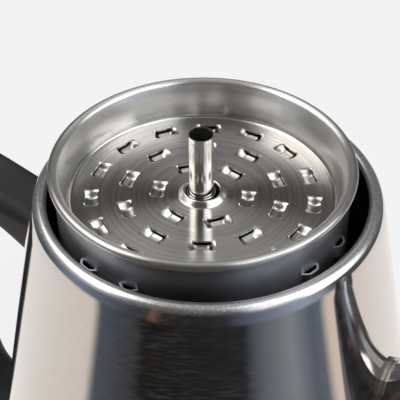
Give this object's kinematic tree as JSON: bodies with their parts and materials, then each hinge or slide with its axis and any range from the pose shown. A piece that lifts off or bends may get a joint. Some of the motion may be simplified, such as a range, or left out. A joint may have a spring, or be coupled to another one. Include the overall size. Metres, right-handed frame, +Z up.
{
  "type": "coffee percolator",
  "caption": "Stovetop coffee percolator: tapered pot with spout and black loop handle, lift-out pump, basket and water spreader, and a domed lid with a glass knob set down behind.",
  "frame": {"origin": "centre of the flat underside of the pot's base, on the pot's axis", "axes": "+Z up along the pot's axis, +X towards the spout, -X towards the handle"},
  "size_m": [0.2169, 0.2469, 0.1891],
  "materials": {
    "mirror_steel": "mirror polished with fine round brushing",
    "spreader_steel": "circular brushed, bright louvres",
    "basket_steel": "dark satin",
    "tube_steel": "bright polished",
    "weld_steel": "rough, slightly straw coloured weld",
    "plated_steel": "plain bright screws and pressings",
    "aluminium_core": "plain rolled",
    "black_phenolic": "satin moulded black phenolic",
    "knob_glass": "clear moulded glass",
    "silicone": "translucent white silicone"
  },
  "bodies": {
    "pot": {"pot_body": "mirror_steel", "base_core_disc": "aluminium_core", "base_cap": "mirror_steel", "spout": "mirror_steel", "spout_weld_seam": "weld_steel", "handle": "black_phenolic", "upper_handle_bracket": "plated_steel", "lower_handle_bracket": "plated_steel", "handle_screws": "plated_steel"},
    "pump": {"pump_tube": "tube_steel", "pump_foot": "tube_steel", "valve_seat": "plated_steel", "basket_stop": "plated_steel"},
    "valve": {"valve_disc": "plated_steel"},
    "basket": {"basket_shell": "basket_steel", "basket_sleeve": "tube_steel"},
    "spreader": {"spreader": "spreader_steel"},
    "lid": {"lid_shell": "mirror_steel", "lid_skirt": "mirror_steel", "knob_socket_ring": "plated_steel", "knob_gasket": "silicone"},
    "knob": {"glass_knob": "knob_glass"}
  },
  "joints": [
    {"name": "pump_lift", "type": "slide", "parent": "pot", "child": "pump", "axis": [0, 0, 1], "range_m": [0, 0.17]},
    {"name": "valve_lift", "type": "slide", "parent": "pump", "child": "valve", "axis": [0, 0, 1], "range_m": [0, 0.004]},
    {"name": "basket_lift", "type": "slide", "parent": "pump", "child": "basket", "axis": [0, 0, 1], "range_m": [0, 0.085]},
    {"name": "spreader_lift", "type": "slide", "parent": "basket", "child": "spreader", "axis": [0, 0, 1], "range_m": [0, 0.03]},
    {"name": "lid_lift", "type": "slide", "parent": "pot", "child": "lid", "axis": [0, 0, 1], "range_m": [0, 0.1]},
    {"name": "knob_twist", "type": "hinge", "parent": "lid", "child": "knob", "pos_m": [-0.06084, 0.1194, 0.035], "axis": [0, 0, 1], "range_deg": [0, 90]}
  ]
}
